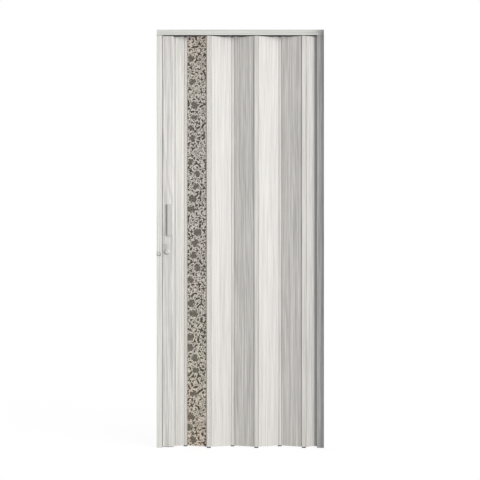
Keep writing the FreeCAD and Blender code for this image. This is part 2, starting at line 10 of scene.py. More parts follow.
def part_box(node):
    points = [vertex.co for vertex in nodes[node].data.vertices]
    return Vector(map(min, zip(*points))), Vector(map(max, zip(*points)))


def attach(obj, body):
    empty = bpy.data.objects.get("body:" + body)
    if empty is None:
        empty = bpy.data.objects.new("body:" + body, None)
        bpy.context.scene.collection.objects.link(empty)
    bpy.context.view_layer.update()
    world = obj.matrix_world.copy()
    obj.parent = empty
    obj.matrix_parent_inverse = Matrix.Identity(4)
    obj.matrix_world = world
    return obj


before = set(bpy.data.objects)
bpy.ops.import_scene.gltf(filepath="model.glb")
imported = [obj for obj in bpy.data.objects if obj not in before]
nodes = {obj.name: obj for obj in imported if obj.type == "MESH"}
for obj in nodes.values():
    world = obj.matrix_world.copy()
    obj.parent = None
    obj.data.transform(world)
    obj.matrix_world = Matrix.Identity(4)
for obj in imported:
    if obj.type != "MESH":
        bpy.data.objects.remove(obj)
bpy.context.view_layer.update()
MM = 0.001

# Photograph's view: a level camera at mid-height, far off
CAMERA_DISTANCE = 4.8
CAMERA_LENS = 71.7
CAMERA_SIDE = -0.4214
CAMERA_HEIGHT = 1.0436

# Light: one soft key from the right, and an even pale room
KEY_STRENGTH = 3.68
KEY_AZIMUTH = 57.0
KEY_ELEVATION = 4.0
KEY_SOFTNESS = 65.0
ROOM_STRENGTH = 0.59

# Unseen black flags: one beside the fixed jamb and one beside the track, against the light on the right edge
FLAG_THICKNESS = 2.0 * MM
FLAG_GAP = 12.0 * MM
FLAG_REACH = 32.0 * MM
FLAG_TOP_REACH = 44.0 * MM
FLAG_RISE = 300.0 * MM

# Unseen black plate over the door that shades the curtain's top
HOOD_RISE = 240.0 * MM
HOOD_REACH = 260.0 * MM
HOOD_SIDE = 120.0 * MM

# Floor: half its side in metres, and its own glow to the camera
FLOOR_HALF = 12.0
FLOOR_GLOW = 1.11
FLOOR_GLOW_SHARE = 0.80

# Colours as they are written on the surfaces, in display values
ASH_FRAME = (229, 228, 223)
ASH_TRACK = (230, 230, 224)
ASH_POST = (231, 228, 223)
ASH_PANEL = (221, 218, 213)
ASH_HINGE = (224, 221, 217)
SPECKLED_HINGE = (224, 221, 215)
SOFT_JOINT = (205, 204, 202)
ANCHOR_GREY = (176, 176, 175)
# The fixed jamb's colour is darker than the strike jamb's as painted shade
FIXED_JAMB_PAINTED_SHADE = (199, 198, 197)
PRINT_GROUND = (219, 213, 205)
PRINT_WARM = (221, 212, 204)
PRINT_COOL = (217, 213, 202)
PRINT_DARK = (79, 72, 63)
PRINT_MIDDLE = (120, 116, 107)
PLUG_BLACK = (44, 44, 44)
WHEEL_WHITE = (222, 220, 212)
STEEL = (165, 165, 168)
HANDLE_GREY = (204, 202, 198)
# Grey of the thin sheets that paint shade beside the handles' finger lips
PAINTED_SHADE_GREY = (184, 182, 178)
LATCH_WHITE = (216, 215, 211)
LEVER_GREY = (192, 191, 187)
FLOOR_PALE = (226, 226, 226)

# Linear colours
BLACK = (0.0, 0.0, 0.0, 1.0)
WHITE = (1.0, 1.0, 1.0, 1.0)

# Tint of the print: share of the panel's height, and its factors of red, green and blue
PRINT_TINTS = ((0.0, (1.06, 0.99, 0.89)), (0.16, (1.04, 1.00, 0.94)), (0.32, (1.01, 1.00, 0.975)),
               (0.52, (0.995, 1.00, 1.01)), (0.76, (0.99, 1.00, 1.02)), (1.0, (1.02, 0.99, 0.94)))

# Factors of painted shade: under the track, in the painted shadow line along its lower edge, and on faces of
# the handle and latch that look against the named axis
TRACK_UNDERSIDE_PAINTED_SHADE = 0.08
TRACK_EDGE_PAINTED_SHADOW = 0.12
HANDLE_PAINTED_SHADE = [("X", 0.6)]
LATCH_ROSE_PAINTED_SHADE = [("Z", 0.45)]
LATCH_KEEPER_PAINTED_SHADE = [("Z", 0.55), ("X", 0.45)]

# Height of the painted shadow line along the track's lower edge
TRACK_EDGE = 1.1 * MM

# A face looks against an axis where its normal's part along that axis is below this
FACING_LIMIT = -0.2

# Grain of the film: width, length and lean in degrees of each kind of mark, and how dark it is
PORES = (1.6 * MM, 90.0 * MM, 0.6)
STREAKS = (4.8 * MM, 380.0 * MM, 1.8)
BANDS = (34.0 * MM, 1300.0 * MM, 0.5)
PATCHES = (60.0 * MM, 380.0 * MM, 0.0)
ARCHES = (100.0 * MM, 1500.0 * MM, 0.0)
PORE_DEPTH = 0.09
STREAK_DEPTH = 0.145
STREAK_LIGHT = 0.035
BAND_DEPTH = 0.035
ARCH_DEPTH = 0.07
GRAIN_GLOSS = 0.35
SPECKLE_SIZE = 4.0 * MM

# Strength of the grain, a little different on each panel; panel_3 and panel_5, which face away from the key,
# get stronger and darker grain as painted shade
PANEL_GRAIN_AND_SHADE = {"lead_half_panel": 0.98, "panel_2": 0.88, "panel_3": 1.65, "panel_4": 0.86,
                "panel_5": 1.6, "fixed_half_panel": 1.05}
GRAIN_POST = 1.9
GRAIN_FIXED_JAMB = 1.7

# Print on the decor panel: middle ink lies one lift over the face, and dark ink two
PRINT_LIFT = 0.12 * MM
PRINT_MARGIN = 0.3 * MM
PRINT_END = 6.0 * MM
ROSE_PITCH = 62.0 * MM
ROSE_STEPS = (0.85, 1.0, 1.9)
ROSE_HALO = 2.5 * MM
MOTIF_GAP = 0.9 * MM
STEM_WIDTH = 2.4 * MM
CROWD_CELL = 48.0 * MM
PRINT_SEEDS = {"front": 11, "back": 12}

# How many of each motif, and how many places are tried for each
STEM_COUNT = 24
SPRAY_COUNT = 150
CURL_COUNT = 90
LEAF_COUNT = 520
SPRIG_COUNT = 900
DOT_COUNT = 1200
TRIES = 40
TRIES_SMALL = 60

# Sizes of the motifs in millimetres, smallest and largest
ROSE_RADII = (19.0, 26.0)
STEM_LENGTHS = (55.0, 95.0)
SPRAY_RADII = (11.0, 16.0)
CURL_SIZES = (7.0, 11.5)
DOT_RADII = (1.7, 3.6)

# Lengths of leaves and of sprigs, which are small leaves
LEAF_LENGTHS = (16.0 * MM, 27.0 * MM)
SPRIG_LENGTHS = (9.0 * MM, 17.0 * MM)

# How far a curl turns in degrees, and the range of a wave's phase
CURL_TURN = 235.0
PHASES = (0.0, 6.28)

# How a motif is inked: scale of the slow drift in hue, and the spread of tone of each ink
PRINT_DRIFT = (9.0, 9.0, 4.2)
DARK_INK_SPREAD = 0.22
MIDDLE_INK_SPREAD = 0.20

# Thin grey sheet on the post's face behind each handle's finger lip and left of it, as painted shade beside
# the lip
SHADE_SHEET_REACH = 10.0 * MM
SHADE_SHEET_UNDERLAP = 5.2 * MM
SHADE_SHEET_THICKNESS = 0.25 * MM

# Screw heads seen inside the channels and on the keeper
JAMB_WALL = 1.8 * MM
TRACK_WALL = 1.6 * MM
KEEPER_PLATE = 1.5 * MM
WALL_SCREW_COUNT = 4
WALL_SCREW_END_DISTANCE = 150.0 * MM
TRACK_SCREW_END_DISTANCE = 105.0 * MM
WALL_SCREW_RADIUS = 4.2 * MM
WALL_SCREW_HEIGHT = 2.6 * MM
KEEPER_SCREW_RADIUS = 2.9 * MM
KEEPER_SCREW_HEIGHT = 0.6 * MM

# Shape of a screw head in shares of its radius and height: reach and rise of its rings, and the cross recess
HEAD_RINGS = ((1.0, 0.0), (1.0, 0.30), (0.86, 0.80), (0.66, 1.0))
RECESS_REACH = 0.52
RECESS_HALF_WIDTH = 0.13
RECESS_DEPTH = 0.7


def linear(colour):
    """Display values 0 to 255 as a linear RGBA colour."""
    channels = []
    for value in colour:
        share = value / 255.0
        channels.append(share / 12.92 if share <= 0.04045 else ((share + 0.055) / 1.055) ** 2.4)
    return (*channels, 1.0)


def scaled(colour, factor):
    """A linear colour times a factor."""
    return (colour[0] * factor, colour[1] * factor, colour[2] * factor, 1.0)


def grey(value):
    return (value, value, value, 1.0)


class Tree:
    """A new material, and short ways to add nodes to it."""

    def __init__(self, name):
        self.material = bpy.data.materials.new(name)
        self.material.use_nodes = True
        self.tree = self.material.node_tree
        self.shader = self.tree.nodes["Principled BSDF"]

    def add(self, kind, links=(), values=(), **settings):
        node = self.tree.nodes.new(kind)
        for key, value in settings.items():
            setattr(node, key, value)
        for key, value in dict(values).items():
            node.inputs[key].default_value = value
        for key, socket in dict(links).items():
            self.tree.links.new(socket, node.inputs[key])
        return node

    def link(self, socket, target):
        self.tree.links.new(socket, target)

    def place(self, scale, turn=(0.0, 0.0, 0.0), shift=(0.0, 0.0, 0.0)):
        """The object's own position, scaled so that one unit is one feature."""
        position = self.add("ShaderNodeTexCoord").outputs["Object"]
        return self.add("ShaderNodeMapping", {"Vector": position},
                        {"Scale": scale, "Rotation": turn, "Location": shift}).outputs["Vector"]

    def noise(self, vector, detail=2.0, roughness=0.5, distortion=0.0):
        node = self.add("ShaderNodeTexNoise", {"Vector": vector},
                        {"Scale": 1.0, "Detail": detail, "Roughness": roughness, "Distortion": distortion})
        return node.outputs["Fac"]

    def ramp(self, value, stops):
        """Colours by value, between stops of position and colour."""
        node = self.add("ShaderNodeValToRGB", {"Fac": value})
        ramp = node.color_ramp
        while len(ramp.elements) < len(stops):
            ramp.elements.new(0.5)
        for element, (position, colour) in zip(ramp.elements, stops):
            element.position = position
            element.color = colour
        return node.outputs["Color"]

    def math(self, operation, first, second):
        node = self.add("ShaderNodeMath", operation=operation)
        for index, value in enumerate((first, second)):
            if isinstance(value, (int, float)):
                node.inputs[index].default_value = value
            else:
                self.link(value, node.inputs[index])
        return node.outputs["Value"]

    def multiply(self, first, second):
        """One colour times another."""
        node = self.add("ShaderNodeMix", data_type="RGBA", blend_type="MULTIPLY")
        node.inputs["Factor"].default_value = 1.0
        self.link(first, node.inputs[6])
        self.link(second, node.inputs[7])
        return node.outputs[2]

    def mix(self, share, first, second):
        """The first colour where the share is nought and the second where it is one."""
        node = self.add("ShaderNodeMix", data_type="RGBA")
        self.link(share, node.inputs["Factor"])
        for socket, value in ((node.inputs[6], first), (node.inputs[7], second)):
            if isinstance(value, tuple):
                socket.default_value = value
            else:
                self.link(value, socket)
        return node.outputs[2]

    def bump(self, height, strength, distance):
        return self.add("ShaderNodeBump", {"Height": height},
                        {"Strength": strength, "Distance": distance}).outputs["Normal"]

    def faces_against(self, axis):
        """One on the faces that look against an axis, and nought on the others."""
        normal = self.add("ShaderNodeNewGeometry").outputs["True Normal"]
        along = self.add("ShaderNodeSeparateXYZ", {"Vector": normal}).outputs[axis]
        return self.math("LESS_THAN", along, FACING_LIMIT)

    def darker_below(self, surface, height, factor):
        """The surface, darker by the factor where it lies lower than a height."""
        position = self.add("ShaderNodeTexCoord").outputs["Object"]
        level = self.add("ShaderNodeSeparateXYZ", {"Vector": position}).outputs["Z"]
        share = self.math("LESS_THAN", level, height)
        return self.multiply(surface, self.mix(share, grey(1.0), grey(factor)))

    def darker_facing(self, surface, axis, factor):
        """The surface, darker by the factor where it faces against an axis."""
        return self.multiply(surface, self.mix(self.faces_against(axis), grey(1.0), grey(factor)))

    def finish(self, colour, roughness, normal=None, specular=0.5):
        shader = self.shader
        if isinstance(colour, tuple):
            shader.inputs["Base Color"].default_value = colour
        else:
            self.link(colour, shader.inputs["Base Color"])
        if isinstance(roughness, (int, float)):
            shader.inputs["Roughness"].default_value = roughness
        else:
            self.link(roughness, shader.inputs["Roughness"])
        if normal is not None:
            self.link(normal, shader.inputs["Normal"])
        shader.inputs["Specular IOR Level"].default_value = specular
        return self.material


def ash(name, colour, contrast=1.0, along="z", seed=0.0, figure=1.0, speckle=0.0, painted_underside_shade=1.0):
    """White ash grain printed on satin plastic: fine pores, soft streaks, broad bands and cathedral arches.

    Where the last argument is below one, faces that look down get painted shade, dull and darker by that
    factor, and a thin painted shadow line runs along the foot of the track's front.
    """
    tree = Tree(name)
    shift = (seed * 3.1, seed * 1.7, seed * 2.3)

    def stretched(width, length, lean):
        fine = 1.0 / width
        long = 1.0 / length
        scale = (fine, fine, long) if along == "z" else (long, fine, fine)
        rotation = (0.0, math.radians(lean), 0.0) if along == "z" else (0.0, 0.0, 0.0)
        return tree.place(scale, rotation, shift)

    pores = tree.noise(stretched(*PORES), 3.0, 0.6, 0.15)
    streaks = tree.noise(stretched(*STREAKS), 1.0, 0.45, 0.25)
    bands = tree.noise(stretched(*BANDS), 1.0, 0.5, 0.2)
    drift = tree.noise(stretched(*PATCHES), 1.0)
    rings = tree.add("ShaderNodeTexWave", {"Vector": stretched(*ARCHES)},
                     {"Scale": 2.6, "Distortion": 9.0, "Detail": 1.5, "Detail Scale": 0.55,
                      "Detail Roughness": 0.5},
                     wave_type="RINGS", rings_direction="SPHERICAL", wave_profile="SIN")
    pore_tone = tree.ramp(pores, [(0.36, grey(1.0 - PORE_DEPTH * contrast)), (0.56, grey(1.0))])
    streak_tone = tree.ramp(streaks, [(0.36, grey(1.0 - STREAK_DEPTH * contrast)),
                                      (0.62, grey(1.0 + STREAK_LIGHT * contrast))])
    band_tone = tree.ramp(bands, [(0.38, grey(1.0 - BAND_DEPTH * contrast)), (0.62, grey(1.0))])
    ring_tone = tree.ramp(rings.outputs["Fac"], [(0.0, grey(1.0 - ARCH_DEPTH * contrast * figure)),
                                                 (0.35, grey(1.0))])
    tone = tree.multiply(tree.multiply(pore_tone, streak_tone), band_tone)
    arch_share = tree.ramp(drift, [(0.50, grey(0.0)), (0.66, grey(1.0))])
    arched = tree.multiply(tone, ring_tone)
    tone = tree.mix(arch_share, tone, arched)
    if speckle > 0.0:
        dots = tree.noise(tree.place((1.0 / SPECKLE_SIZE,) * 3, shift=shift), 2.0)
        tone = tree.multiply(tone, tree.ramp(dots, [(0.38, grey(1.0 - speckle)), (0.60, grey(1.0))]))
    base = tree.add("ShaderNodeRGB")
    base.outputs[0].default_value = linear(colour)
    surface = tree.multiply(base.outputs[0], tone)
    # Painted shade on faces that look down, and a painted shadow line along the track's lower edge
    if painted_underside_shade < 1.0:
        surface = tree.darker_facing(surface, "Z", painted_underside_shade)
        surface = tree.darker_below(surface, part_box("top_track")[0].z + TRACK_EDGE, TRACK_EDGE_PAINTED_SHADOW)
    roughness = tree.ramp(pores, [(0.3, grey(0.50)), (0.7, grey(0.40))])
    normal = tree.bump(tree.math("ADD", pores, tree.math("MULTIPLY", streaks, 0.6)), 0.22, 0.10 * MM)
    tree.finish(surface, roughness, normal, GRAIN_GLOSS)
    # The painted shade also takes the sheen off faces that look down
    if painted_underside_shade < 1.0:
        gloss = tree.math("MULTIPLY", tree.math("SUBTRACT", 1.0, tree.faces_against("Z")), GRAIN_GLOSS)
        tree.link(gloss, tree.shader.inputs["Specular IOR Level"])
    return tree.material


def moulded(name, colour, roughness=0.45, texture=0.25 * MM, mottle=0.04, specular=0.4, shade=()):
    """Moulded plastic with a fine spark-eroded texture.

    Each pair in shade is an axis and the factor of painted shade by which faces against it are darker.
    """
    tree = Tree(name)
    fine = tree.noise(tree.place((1.0 / texture,) * 3), 2.0)
    broad = tree.noise(tree.place((1.0 / (14.0 * MM),) * 3), 2.0)
    tone = tree.ramp(broad, [(0.35, scaled(linear(colour), 1.0 - mottle)), (0.65, linear(colour))])
    for axis, factor in shade:
        tone = tree.darker_facing(tone, axis, factor)
    rough = tree.ramp(broad, [(0.3, grey(roughness + 0.06)), (0.7, grey(roughness - 0.04))])
    return tree.finish(tone, rough, tree.bump(fine, 0.12, 0.05 * MM), specular)


def flexible(name, colour):
    """Soft extruded plastic with fine lines along its length."""
    tree = Tree(name)
    lines = tree.noise(tree.place((1.0 / (0.7 * MM), 1.0 / (0.7 * MM), 1.0 / 0.4)), 2.0)
    tone = tree.ramp(lines, [(0.35, scaled(linear(colour), 0.93)), (0.6, linear(colour))])
    rough = tree.ramp(lines, [(0.3, grey(0.62)), (0.7, grey(0.52))])
    return tree.finish(tone, rough, tree.bump(lines, 0.25, 0.10 * MM), 0.3)


def drawn_steel(name, colour):
    tree = Tree(name)
    lines = tree.noise(tree.place((1.0 / (0.2 * MM), 1.0 / (8.0 * MM), 1.0 / (0.2 * MM))), 2.0)
    tone = tree.ramp(lines, [(0.3, scaled(linear(colour), 0.85)), (0.7, linear(colour))])
    rough = tree.ramp(lines, [(0.3, grey(0.36)), (0.7, grey(0.26))])
    tree.shader.inputs["Metallic"].default_value = 1.0
    return tree.finish(tone, rough, tree.bump(lines, 0.15, 0.02 * MM))


def end_tint(tree):
    """Tint of the print by height, warmer towards both ends."""
    low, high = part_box("decor_panel")
    position = tree.place((1.0 / (high.z - low.z),) * 3)
    height = tree.add("ShaderNodeSeparateXYZ", {"Vector": position}).outputs["Z"]
    return tree.ramp(height, [(share, (*tint, 1.0)) for share, tint in PRINT_TINTS])


def print_ground(name):
    """Printed film: a pale ground whose hue drifts between pinkish and greenish greys."""
    tree = Tree(name)
    drift = tree.noise(tree.place(PRINT_DRIFT), 1.0)
    cloud = tree.noise(tree.place((1.0 / (16.0 * MM), 1.0 / (16.0 * MM), 1.0 / (22.0 * MM))), 3.0, 0.6, 0.6)
    hue = tree.ramp(drift, [(0.38, linear(PRINT_WARM)), (0.50, linear(PRINT_GROUND)),
                            (0.62, linear(PRINT_COOL))])
    tone = tree.ramp(cloud, [(0.34, grey(0.80)), (0.58, grey(1.0))])
    return tree.finish(tree.multiply(tree.multiply(hue, tone), end_tint(tree)), 0.30, None, 0.45)


def print_ink(name, colour, spread):
    """Printed ink with a soft uneven tone, darker and lighter by the spread."""
    tree = Tree(name)
    cloud = tree.noise(tree.place((1.0 / (6.0 * MM),) * 3), 3.0, 0.65)
    drift = tree.noise(tree.place(PRINT_DRIFT), 1.0)
    dim = scaled(linear(colour), 1.0 - spread)
    bright = scaled(linear(colour), 1.0 + spread)
    base = tree.ramp(cloud, [(0.34, dim), (0.64, bright)])
    hue = tree.ramp(drift, [(0.42, (1.04, 0.98, 0.96, 1.0)), (0.58, (0.98, 1.0, 0.97, 1.0))])
    return tree.finish(tree.multiply(tree.multiply(base, hue), end_tint(tree)), 0.34, None, 0.45)


def assign(material, *names):
    for name in names:
        mesh = nodes[name].data
        mesh.materials.clear()
        mesh.materials.append(material)


def dress_nodes():
    """A finish for every CAD node."""
    assign(ash("ash_strike_jamb", ASH_FRAME, 1.0, seed=1.0), "strike_jamb")
    # The fixed jamb is darker by painted shade in its colour, and the flag beside it casts real shadow on it
    # too
    assign(ash("ash_fixed_jamb", FIXED_JAMB_PAINTED_SHADE, GRAIN_FIXED_JAMB, seed=2.0), "fixed_jamb")
    # The track gets painted shade underneath and a painted shadow line along its lower edge
    assign(ash("ash_track", ASH_TRACK, 0.8, along="x", seed=3.0, figure=0.3, speckle=0.05,
               painted_underside_shade=TRACK_UNDERSIDE_PAINTED_SHADE), "top_track")
    assign(ash("ash_post", ASH_POST, GRAIN_POST, seed=4.0), "lead_post")
    # Stronger, darker grain on panel_3 and panel_5 is painted shade
    for index, (name, contrast) in enumerate(PANEL_GRAIN_AND_SHADE.items()):
        assign(ash("ash_" + name, ASH_PANEL, contrast, seed=5.0 + index), name)
    assign(ash("speckled_hinge", SPECKLED_HINGE, 0.5, seed=12.0, figure=0.2, speckle=0.15),
           "fold_hinge_1", "fold_hinge_2")
    assign(ash("ash_hinge", ASH_HINGE, 1.0, seed=13.0, figure=0.2),
           "fold_hinge_3", "fold_hinge_4", "fold_hinge_5", "fold_hinge_6")
    assign(flexible("soft_joint", SOFT_JOINT), "lead_joint", "fixed_joint")
    assign(moulded("anchor_grey", ANCHOR_GREY), "anchor_profile")
    assign(print_ground("print_ground"), "decor_panel")
    assign(moulded("plug_black", PLUG_BLACK, 0.55), "hinge_plugs_bottom", "hinge_plugs_top",
           "post_cap_top", "post_cap_bottom")
    assign(moulded("trolley_black", PLUG_BLACK, 0.45), "trolley_1", "trolley_2", "trolley_3", "trolley_4")
    assign(moulded("wheel_white", WHEEL_WHITE, 0.35), "trolley_wheels")
    assign(drawn_steel("axle_steel", STEEL), "trolley_axles")
    # The handle, rose and keeper get painted shade on faces that look against the named axes
    assign(moulded("handle_grey", HANDLE_GREY, 0.40, shade=HANDLE_PAINTED_SHADE), "handle_front", "handle_back")
    assign(moulded("rose_white", LATCH_WHITE, 0.38, shade=LATCH_ROSE_PAINTED_SHADE), "latch_rose")
    assign(moulded("keeper_white", LATCH_WHITE, 0.38, shade=LATCH_KEEPER_PAINTED_SHADE), "latch_keeper")
    assign(moulded("lever_grey", LEVER_GREY, 0.38), "latch_lever")


# Printed pattern. Motifs are closed outlines in the panel's own plane: s across, z up.

def blob(x, z, radius, waves, turn, stretch=1.0, count=36):
    """Uneven round outline; waves are (number round the outline, depth, phase)."""
    points = []
    for index in range(count):
        angle = 2.0 * math.pi * index / count
        reach = radius
        for order, depth, phase in waves:
            reach -= radius * depth * (0.5 - 0.5 * math.cos(order * angle + phase))
        px = reach * math.cos(angle)
        pz = reach * math.sin(angle) * stretch
        points.append((x + px * math.cos(turn) - pz * math.sin(turn),
                       z + px * math.sin(turn) + pz * math.cos(turn)))
    return points


def band_along(path, widths):
    """Closed outline of a tapering band along a path."""
    left = []
    right = []
    for index, (x, z) in enumerate(path):
        ahead = path[min(index + 1, len(path) - 1)]
        behind = path[max(index - 1, 0)]
        run = Vector((ahead[0] - behind[0], ahead[1] - behind[1])).normalized()
        half = widths[index] / 2.0
        left.append((x - run.y * half, z + run.x * half))
        right.append((x + run.y * half, z - run.x * half))
    return left + right[::-1]


def curl(x, z, size, width, turn, hand):
    """Comma scroll that winds in and swells towards its inner end."""
    steps = 14
    path = []
    widths = []
    for index in range(steps + 1):
        share = index / steps
        angle = turn + hand * share * math.radians(CURL_TURN)
        reach = size * (1.0 - 0.55 * share)
        path.append((x + reach * math.cos(angle), z + reach * math.sin(angle)))
        widths.append(width * (0.25 + 0.95 * share))
    return band_along(path, widths)


def leaf_stroke(x, z, length, width, turn, bend):
    """Slim bent leaf."""
    steps = 8
    path = []
    widths = []
    for index in range(steps + 1):
        share = index / steps - 0.5
        along = share * length
        aside = bend * length * (0.25 - share * share)
        path.append((x + along * math.cos(turn) - aside * math.sin(turn),
                     z + along * math.sin(turn) + aside * math.cos(turn)))
        widths.append(max(width * math.cos(share * math.pi) ** 0.7, width * 0.08))
    return band_along(path, widths)


def stem_path(x, z, length, turn, sway, phase):
    """Points of a thin stem that swings to both sides."""
    steps = 20
    path = []
    for index in range(steps + 1):
        path.append((x, z))
        heading = turn + sway * math.sin(phase + 2.0 * math.pi * index / steps)
        x += length / steps * math.cos(heading)
        z += length / steps * math.sin(heading)
    return path


def clipped(outline, low, high, axis):
    """The part of an outline between two values of s, axis 0, or of z, axis 1."""
    for edge, keep_above in ((low, True), (high, False)):
        kept = []
        for index, here in enumerate(outline):
            before = outline[index - 1]
            here_in = here[axis] >= edge if keep_above else here[axis] <= edge
            before_in = before[axis] >= edge if keep_above else before[axis] <= edge
            if here_in != before_in:
                share = (edge - before[axis]) / (here[axis] - before[axis])
                kept.append((before[0] + share * (here[0] - before[0]),
                             before[1] + share * (here[1] - before[1])))
            if here_in:
                kept.append(here)
        outline = kept
        if len(outline) < 3:
            return []
    return outline


class Crowd:
    """Circles already taken on the strip, kept in cells so that a test is quick."""

    def __init__(self, cell):
        self.cell = cell
        self.cells = {}

    def key(self, x, z):
        return int(math.floor(x / self.cell)), int(math.floor(z / self.cell))

    def free(self, circles, gap):
        for x, z, radius in circles:
            column, row = self.key(x, z)
            for i in range(column - 1, column + 2):
                for j in range(row - 1, row + 2):
                    for ox, oz, other in self.cells.get((i, j), ()):
                        reach = radius + other + gap
                        if (x - ox) ** 2 + (z - oz) ** 2 < reach * reach:
                            return False
        return True

    def take(self, circles):
        for x, z, radius in circles:
            self.cells.setdefault(self.key(x, z), []).append((x, z, radius))

    def claim(self, circles):
        """Take the circles if they all stand free, and say whether they did."""
        if not self.free(circles, MOTIF_GAP):
            return False
        self.take(circles)
        return True


def print_motifs(half_width, low, high, seed):
    """Outlines in dark ink and in middle ink that fill the strip.

    Roses and stems are in middle ink. The roses' petal lines and all else are in dark ink.
    """
    rng = random.Random(seed)
    crowd = Crowd(CROWD_CELL)
    dark = []
    middle = []

    def spot(margin):
        return rng.uniform(-half_width - margin, half_width + margin), rng.uniform(low, high)

    def attempt(tries, count, make):
        """Make a number of like motifs, with so many tries for each."""
        made = 0
        for _ in range(count * tries):
            if made >= count:
                break
            if make():
                made += 1

    def put_rose(x, z):
        radius = rng.uniform(*ROSE_RADII) * MM
        turn = rng.uniform(-0.6, 0.6)
        crowd.take([(x, z, radius * 0.80 + ROSE_HALO)])
        waves = [(2, rng.uniform(0.16, 0.30), rng.uniform(*PHASES)),
                 (rng.choice((3, 4)), 0.20, rng.uniform(*PHASES)), (7, 0.10, rng.uniform(*PHASES))]
        middle.append(blob(x, z, radius, waves, turn, rng.uniform(0.82, 1.0), 64))
        dark.append(blob(x, z, radius * 0.16, [(3, 0.3, 0.0)], turn, 1.0, 14))
        for ring, petals, size in ((0.36, 4, 0.18), (0.72, 7, 0.22)):
            for petal in range(petals):
                angle = 2.0 * math.pi * (petal + rng.uniform(-0.2, 0.2)) / petals
                reach = radius * ring * rng.uniform(0.9, 1.05)
                petal_x = x + reach * math.cos(angle)
                petal_z = z + reach * math.sin(angle) * 0.88
                length = radius * size * rng.uniform(1.8, 3.4)
                dark.append(leaf_stroke(petal_x, petal_z, length, radius * size, angle + math.pi / 2.0, -0.8))

    def put_stem():
        x, z = spot(0.0)
        turn = math.radians(rng.gauss(50.0, 30.0))
        length = rng.uniform(*STEM_LENGTHS) * MM
        path = stem_path(x, z, length, turn, rng.uniform(0.5, 1.1), rng.uniform(*PHASES))
        circles = [(px, pz, STEM_WIDTH * 0.5) for px, pz in path]
        if not crowd.claim(circles):
            return False
        last = len(path) - 1
        widths = []
        for index in range(last + 1):
            swell = math.sin(math.pi * (0.15 + 0.7 * index / last))
            widths.append(STEM_WIDTH * (0.45 + 0.9 * swell))
        middle.append(band_along(path, widths))
        return True

    def put_spray():
        x, z = spot(4.0 * MM)
        radius = rng.uniform(*SPRAY_RADII) * MM
        if not crowd.claim([(x, z, radius * 0.70)]):
            return False
        waves = [(rng.choice((2, 3, 4)), rng.uniform(0.42, 0.58), rng.uniform(*PHASES)),
                 (5, 0.16, rng.uniform(*PHASES))]
        dark.append(blob(x, z, radius, waves, rng.uniform(*PHASES), rng.uniform(0.8, 1.0), 48))
        return True

    def put_curl():
        x, z = spot(3.0 * MM)
        size = rng.uniform(*CURL_SIZES) * MM
        width = size * rng.uniform(0.80, 1.00)
        if not crowd.claim([(x, z, size * 1.12)]):
            return False
        dark.append(curl(x, z, size, width, rng.uniform(0.0, 2.0 * math.pi), rng.choice((-1, 1))))
        return True

    def put_leaf(shortest, longest):
        x, z = spot(3.0 * MM)
        length = rng.uniform(shortest, longest)
        width = length * rng.uniform(0.46, 0.66)
        turn = math.radians(rng.gauss(45.0, 34.0))
        bend = rng.uniform(-0.7, 0.7)
        circles = []
        for share in (-0.36, -0.12, 0.12, 0.36):
            circles.append((x + share * length * math.cos(turn), z + share * length * math.sin(turn),
                            width * 0.44))
        if not crowd.claim(circles):
            return False
        dark.append(leaf_stroke(x, z, length, width, turn, bend))
        return True

    def put_dot():
        x, z = spot(1.0 * MM)
        radius = rng.uniform(*DOT_RADII) * MM
        if not crowd.claim([(x, z, radius)]):
            return False
        waves = [(2, 0.30, 0.0), (3, 0.25, rng.uniform(*PHASES))]
        dark.append(blob(x, z, radius * 1.30, waves, rng.uniform(*PHASES), 1.0, 18))
        return True

    place = low + ROSE_PITCH * 0.4
    while place < high - ROSE_PITCH * 0.3:
        put_rose(rng.uniform(-0.85, 0.15) * half_width, place)
        place += ROSE_PITCH * rng.choice(ROSE_STEPS)
    attempt(TRIES, STEM_COUNT, put_stem)
    attempt(TRIES, CURL_COUNT, put_curl)
    attempt(TRIES, SPRAY_COUNT, put_spray)
    attempt(TRIES, LEAF_COUNT, lambda: put_leaf(*LEAF_LENGTHS))
    attempt(TRIES_SMALL, SPRIG_COUNT, lambda: put_leaf(*SPRIG_LENGTHS))
    attempt(TRIES_SMALL, DOT_COUNT, put_dot)
    return dark, middle


def face_of_panel(name):
    """Plan centre, turn, half thickness and half width of a panel's flat faces, read from its mesh."""
    mesh = nodes[name].data
    low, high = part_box(name)
    centre = Vector(((low.x + high.x) / 2.0, (low.y + high.y) / 2.0, 0.0))
    front = max((face for face in mesh.polygons if face.normal.y < -0.5), key=lambda face: face.area)
    outward = Vector((front.normal.x, front.normal.y, 0.0)).normalized()
    across = Vector((-outward.y, outward.x, 0.0))
    offsets = [corner.co - centre for corner in mesh.vertices]
    half_thickness = max(offset.dot(outward) for offset in offsets)
    flat = [offset for offset in offsets if offset.dot(outward) > half_thickness - 0.01 * MM]
    half_width = max(abs(offset.dot(across)) for offset in flat)
    return centre, math.atan2(across.y, across.x), half_thickness, half_width


def new_object(name, vertices, faces, material):
    mesh = bpy.data.meshes.new(name)
    mesh.from_pydata(vertices, [], faces)
    mesh.validate()
    mesh.materials.append(material)
    made = bpy.data.objects.new(name, mesh)
    bpy.context.scene.collection.objects.link(made)
    return made


def flat_piece(name, outlines, placement, material):
    """Flat faces in one piece, one for each outline, on a plane given by its placement."""
    vertices = []
    faces = []
    for outline in outlines:
        start = len(vertices)
        for s, z in outline:
            vertices.append(placement @ Vector((s, 0.0, z)))
        faces.append(list(range(start, start + len(outline))))
    piece = new_object(name, vertices, faces, material)
    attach(piece, "door")


